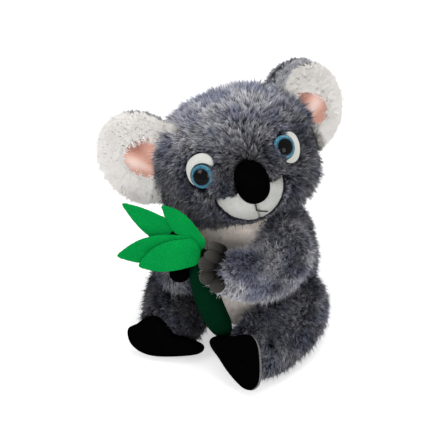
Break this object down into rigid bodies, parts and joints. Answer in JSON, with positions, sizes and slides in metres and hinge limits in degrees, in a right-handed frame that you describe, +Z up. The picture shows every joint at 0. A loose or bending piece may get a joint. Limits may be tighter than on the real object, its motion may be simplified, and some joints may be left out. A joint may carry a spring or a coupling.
{
  "type": "plush koala",
  "caption": "Sitting plush koala with a turned, tilted head, round ears and felt-green leaves on a stuffed branch that it holds in its paws.",
  "frame": {"origin": "middle of the flat seat, on the surface that the koala sits on", "axes": "+Z up, -Y the way that the koala's body faces, +X its own left"},
  "size_m": [0.2123, 0.2057, 0.2328],
  "materials": {
    "grey_fur": "long grey plush pile with lighter tips",
    "white_fur": "long white plush pile",
    "white_plush": "short off-white plush pile",
    "pink_satin": "satin",
    "black_velvet": "black velvet",
    "taupe_velour": "short grey-brown velour",
    "white_felt": "felt",
    "leaf_felt": "bright green felt",
    "stem_felt": "dark green felt",
    "eye_plastic": "glossy, blue ring round a black pupil",
    "washer_plastic": "plain moulded",
    "stitch_thread": "dark thread",
    "fibre_fill": "loose polyester fibre",
    "pellet_fill": "cloth bag of pellets"
  },
  "bodies": {
    "torso": {"body_skin": "grey_fur", "front_panel": "white_plush", "body_stuffing": "fibre_fill", "pellet_bag": "pellet_fill"},
    "neck": {"neck_stuffing": "fibre_fill"},
    "head": {"head_skin": "grey_fur", "head_stuffing": "fibre_fill", "eye_left": "eye_plastic", "eye_right": "eye_plastic", "eye_washer_left": "washer_plastic", "eye_washer_right": "washer_plastic", "eye_felt_left": "white_felt", "eye_felt_right": "white_felt", "muzzle_left": "white_plush", "muzzle_right": "white_plush", "nose": "black_velvet", "mouth_stitch": "stitch_thread"},
    "ear_left": {"ear_back_left": "grey_fur", "ear_front_left": "white_fur", "ear_lining_left": "pink_satin"},
    "ear_right": {"ear_back_right": "grey_fur", "ear_front_right": "white_fur", "ear_lining_right": "pink_satin"},
    "leg_left": {"leg_skin_left": "grey_fur", "leg_stuffing_left": "fibre_fill", "foot_left": "black_velvet"},
    "leg_right": {"leg_skin_right": "grey_fur", "leg_stuffing_right": "fibre_fill", "foot_right": "black_velvet"},
    "arm_left": {"arm_skin_left": "grey_fur", "arm_stuffing_left": "fibre_fill", "paw_left": "taupe_velour"},
    "arm_right": {"arm_skin_right": "grey_fur", "arm_stuffing_right": "fibre_fill", "paw_right": "black_velvet"},
    "branch": {"stem_cover": "stem_felt", "stem_stuffing": "fibre_fill", "leaf_1": "leaf_felt", "leaf_2": "leaf_felt", "leaf_3": "leaf_felt", "leaf_4": "leaf_felt"}
  },
  "joints": [
    {"name": "head_turn", "type": "hinge", "parent": "torso", "child": "neck", "pos_m": [-0.007, 0.01894, 0.08874], "axis": [-0.0769, 0.2114, 0.9744], "range_deg": [-20, 20], "stiffness_Nm_per_rad": 0.8},
    {"name": "head_nod", "type": "hinge", "parent": "neck", "child": "head", "pos_m": [-0.007, 0.01894, 0.08874], "axis": [0.997, 0.0082, 0.0769], "range_deg": [-6, 8], "stiffness_Nm_per_rad": 0.8},
    {"name": "ear_left_bend", "type": "hinge", "parent": "head", "child": "ear_left", "pos_m": [0.04178, 0.0479, 0.19437], "axis": [-0.1221, 0.3805, 0.9167], "range_deg": [-15, 15], "stiffness_Nm_per_rad": 0.03},
    {"name": "ear_right_bend", "type": "hinge", "parent": "head", "child": "ear_right", "pos_m": [-0.07004, -0.01933, 0.16133], "axis": [-0.693, 0.03, 0.7203], "range_deg": [-15, 15], "stiffness_Nm_per_rad": 0.03},
    {"name": "leg_left_swing", "type": "hinge", "parent": "torso", "child": "leg_left", "pos_m": [0.04816, 0.01587, 0.03834], "axis": [0, 0, 1], "range_deg": [0, 10], "stiffness_Nm_per_rad": 0.3},
    {"name": "leg_right_swing", "type": "hinge", "parent": "torso", "child": "leg_right", "pos_m": [-0.04865, 0.0138, 0.03115], "axis": [0, 0, -1], "range_deg": [0, 10], "stiffness_Nm_per_rad": 0.3},
    {"name": "arm_left_lift", "type": "hinge", "parent": "torso", "child": "arm_left", "pos_m": [0.04428, 0.00313, 0.10139], "axis": [-0.997, -0.0082, -0.0769], "range_deg": [0, 8], "stiffness_Nm_per_rad": 0.4},
    {"name": "arm_right_lift", "type": "hinge", "parent": "torso", "child": "arm_right", "pos_m": [-0.05913, 0.00164, 0.09045], "axis": [-0.8573, -0.1019, -0.5046], "range_deg": [0, 6], "stiffness_Nm_per_rad": 0.4},
    {"name": "branch_turn", "type": "hinge", "parent": "arm_left", "child": "branch", "pos_m": [-0.00491, -0.0806, 0.10005], "axis": [-0.184, 0.2303, 0.9556], "range_deg": [-6, 6], "stiffness_Nm_per_rad": 0.05}
  ]
}
